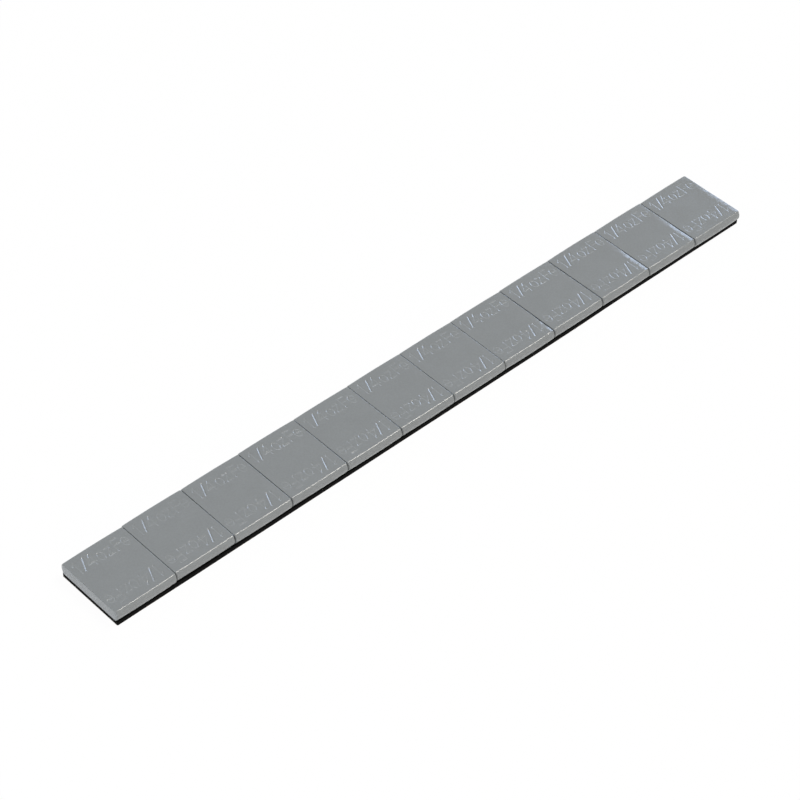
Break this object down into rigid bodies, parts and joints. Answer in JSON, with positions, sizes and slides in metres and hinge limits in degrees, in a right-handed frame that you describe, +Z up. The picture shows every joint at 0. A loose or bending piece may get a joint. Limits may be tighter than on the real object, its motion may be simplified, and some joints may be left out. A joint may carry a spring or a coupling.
{
  "type": "wheel balance weight strip",
  "caption": "Stick-on wheel balance weight: a row of flat, grey coated steel slugs on black foam tape with a peel-off liner, cut to the mass needed and stuck inside a wheel rim.",
  "frame": {"origin": "middle of the strip, on the surface that its liner lies on", "axes": "+X along the row of slugs, +Y across the strip, +Z up through the slugs' marked faces"},
  "size_m": [0.2004, 0.0201, 0.0041],
  "materials": {
    "coated_steel": "satin",
    "tape_foam": "matte",
    "liner_paper": "satin"
  },
  "bodies": {
    "root": {"release_liner": "liner_paper", "foam_tape": "tape_foam", "steel_slug_01": "coated_steel", "steel_slug_02": "coated_steel", "steel_slug_03": "coated_steel", "steel_slug_04": "coated_steel", "steel_slug_05": "coated_steel", "steel_slug_06": "coated_steel", "steel_slug_07": "coated_steel", "steel_slug_08": "coated_steel", "steel_slug_09": "coated_steel", "steel_slug_10": "coated_steel", "steel_slug_11": "coated_steel", "steel_slug_12": "coated_steel"}
  },
  "joints": []
}
